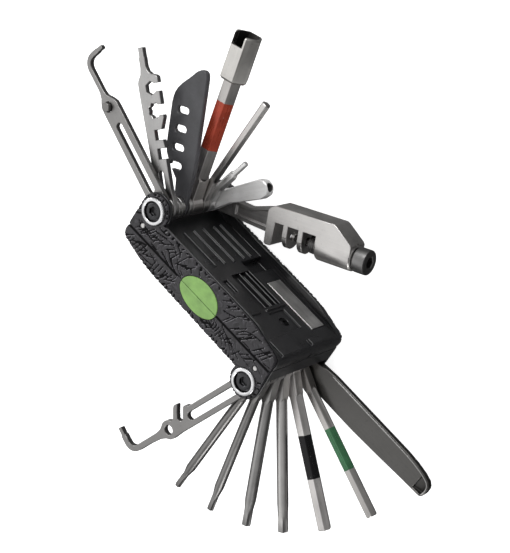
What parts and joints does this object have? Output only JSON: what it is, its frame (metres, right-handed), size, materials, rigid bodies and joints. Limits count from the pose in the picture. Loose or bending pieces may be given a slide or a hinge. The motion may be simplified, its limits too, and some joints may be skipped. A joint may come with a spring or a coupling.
{
  "type": "folding bicycle multi-tool with chain tool",
  "caption": "Folding bicycle multi-tool: two sliding moulded halves, each with a long pivot carrying fold-out keys, a chain tool, a tyre lever and a spoke key.",
  "frame": {"origin": "on the plane the rear covers rest on, 1 mm inside half A from the parting plane, midway between the two pivots", "axes": "+X along the body from pivot A's end to pivot B's end, +Y towards half A's open bay, +Z out of the front covers that carry the oval inlay, along both pivots"},
  "size_m": [0.2452, 0.1951, 0.0572],
  "materials": {
    "frame_black": "moulded black, satin",
    "cover_charcoal": "moulded charcoal with a fine abstract relief",
    "emblem_green": "plain green, softly glossy",
    "bright_ring": "bright turned",
    "bolt_black": "black oxide, slightly oily",
    "key_steel": "satin steel, lightly tumbled",
    "light_steel": "light satin steel",
    "dark_steel": "darkened steel",
    "blade_black": "black reinforced plastic"
  },
  "bodies": {
    "half_a": {"frame_a": "frame_black", "front_cover_a": "cover_charcoal", "rear_cover_a": "cover_charcoal", "emblem_inlay_a": "emblem_green", "front_ring_a": "bright_ring", "rear_ring_a": "bright_ring", "frame_pin_a": "bright_ring", "pivot_bolt_a": "bolt_black", "pivot_nut_a": "bolt_black", "bay_screw_a": "key_steel", "bay_plate_a": "light_steel", "washer_a1": "light_steel", "washer_a2": "light_steel", "washer_a3": "light_steel", "washer_a4": "light_steel", "washer_a5": "light_steel", "washer_a6": "light_steel"},
    "half_b": {"frame_b": "frame_black", "front_cover_b": "cover_charcoal", "rear_cover_b": "cover_charcoal", "emblem_inlay_b": "emblem_green", "front_ring_b": "bright_ring", "rear_ring_b": "bright_ring", "frame_pin_b": "bright_ring", "pivot_bolt_b": "bolt_black", "pivot_nut_b": "bolt_black", "bay_screw_b": "key_steel", "washer_b1": "light_steel", "washer_b2": "light_steel", "washer_b3": "light_steel", "washer_b4": "light_steel", "washer_b5": "light_steel", "washer_b6": "light_steel", "washer_b7": "light_steel", "washer_b8": "light_steel"},
    "peg_hook": {"peg_hook_key": "key_steel", "hook_peg": "light_steel"},
    "spoke": {"spoke_wrench": "key_steel"},
    "blade": {"plastic_blade": "blade_black"},
    "key_8": {"hex_key_8": "key_steel"},
    "adapter": {"hex_adapter": "light_steel"},
    "key_4": {"hex_key_4": "key_steel"},
    "key_2_5": {"hex_key_2_5": "key_steel"},
    "socket": {"socket_bar": "light_steel"},
    "chain_tool": {"chain_tool_arm": "dark_steel", "chain_tool_head": "light_steel", "chain_tool_rivet": "light_steel"},
    "pin": {"push_pin": "dark_steel"},
    "driver": {"driver_screw": "dark_steel"},
    "chain_hook": {"chain_hook_key": "key_steel"},
    "star_10": {"star_key_10": "key_steel"},
    "star_15": {"star_key_15": "key_steel"},
    "star_25": {"star_key_25": "key_steel"},
    "star_30": {"star_key_30": "key_steel"},
    "key_6": {"hex_key_6": "key_steel"},
    "key_5": {"hex_key_5": "key_steel"},
    "lever": {"tyre_lever": "dark_steel"}
  },
  "joints": [
    {"name": "halves_slide", "type": "slide", "parent": "half_a", "child": "half_b", "axis": [1, 0, 0], "range_m": [0, 0.092]},
    {"name": "peg_hook_fold", "type": "hinge", "parent": "half_a", "child": "peg_hook", "pos_m": [-0.042, 0.014, 0.0487], "axis": [0, 0, 1], "range_deg": [-155.3, 19.7]},
    {"name": "spoke_fold", "type": "hinge", "parent": "half_a", "child": "spoke", "pos_m": [-0.042, 0.014, 0.0448], "axis": [0, 0, 1], "range_deg": [-134.5, 43.5]},
    {"name": "blade_fold", "type": "hinge", "parent": "half_a", "child": "blade", "pos_m": [-0.042, 0.014, 0.03685], "axis": [0, 0, 1], "range_deg": [-114, 64]},
    {"name": "key_8_fold", "type": "hinge", "parent": "half_a", "child": "key_8", "pos_m": [-0.042, 0.014, 0.0286], "axis": [0, 0, 1], "range_deg": [-100.3, 76.7]},
    {"name": "adapter_pull", "type": "slide", "parent": "key_8", "child": "adapter", "axis": [-0.23, 0.9732, 0], "range_m": [0, 0.0115]},
    {"name": "key_4_fold", "type": "hinge", "parent": "half_a", "child": "key_4", "pos_m": [-0.042, 0.014, 0.0223], "axis": [0, 0, 1], "range_deg": [-87.3, 92.7]},
    {"name": "key_2_5_fold", "type": "hinge", "parent": "half_a", "child": "key_2_5", "pos_m": [-0.042, 0.014, 0.0171], "axis": [0, 0, 1], "range_deg": [-75.6, 104.4]},
    {"name": "socket_fold", "type": "hinge", "parent": "half_a", "child": "socket", "pos_m": [-0.042, 0.014, 0.0121], "axis": [0, 0, 1], "range_deg": [-51, 129]},
    {"name": "chain_tool_fold", "type": "hinge", "parent": "half_a", "child": "chain_tool", "pos_m": [-0.042, 0.014, 0.00695], "axis": [0, 0, 1], "range_deg": [-20.5, 154]},
    {"name": "driver_advance", "type": "slide", "parent": "chain_tool", "child": "pin", "axis": [0.8988, 0.4384, 0], "range_m": [0, 0.009]},
    {"name": "driver_spin", "type": "hinge", "parent": "pin", "child": "driver", "pos_m": [0.03552, 0.04669, 0.0112], "axis": [0.8988, 0.4384, 0], "range_deg": [0, 3240]},
    {"name": "chain_hook_fold", "type": "hinge", "parent": "half_b", "child": "chain_hook", "pos_m": [0.042, -0.014, 0.0493], "axis": [0, 0, 1], "range_deg": [-65, 110]},
    {"name": "star_10_fold", "type": "hinge", "parent": "half_b", "child": "star_10", "pos_m": [0.042, -0.014, 0.0444], "axis": [0, 0, 1], "range_deg": [-89, 91]},
    {"name": "star_15_fold", "type": "hinge", "parent": "half_b", "child": "star_15", "pos_m": [0.042, -0.014, 0.0387], "axis": [0, 0, 1], "range_deg": [-102.4, 77.6]},
    {"name": "star_25_fold", "type": "hinge", "parent": "half_b", "child": "star_25", "pos_m": [0.042, -0.014, 0.0326], "axis": [0, 0, 1], "range_deg": [-115.3, 64.7]},
    {"name": "star_30_fold", "type": "hinge", "parent": "half_b", "child": "star_30", "pos_m": [0.042, -0.014, 0.0261], "axis": [0, 0, 1], "range_deg": [-127.5, 52.5]},
    {"name": "key_6_fold", "type": "hinge", "parent": "half_b", "child": "key_6", "pos_m": [0.042, -0.014, 0.0193], "axis": [0, 0, 1], "range_deg": [-141.4, 38.6]},
    {"name": "key_5_fold", "type": "hinge", "parent": "half_b", "child": "key_5", "pos_m": [0.042, -0.014, 0.0127], "axis": [0, 0, 1], "range_deg": [-158.5, 21.5]},
    {"name": "lever_fold", "type": "hinge", "parent": "half_b", "child": "lever", "pos_m": [0.042, -0.014, 0.00695], "axis": [0, 0, 1], "range_deg": [-179.5, 0.5]}
  ],
  "couplings": [
    {"joint": "driver_advance", "follows": "driver_spin", "m_per_rad": 0.00015915}
  ]
}
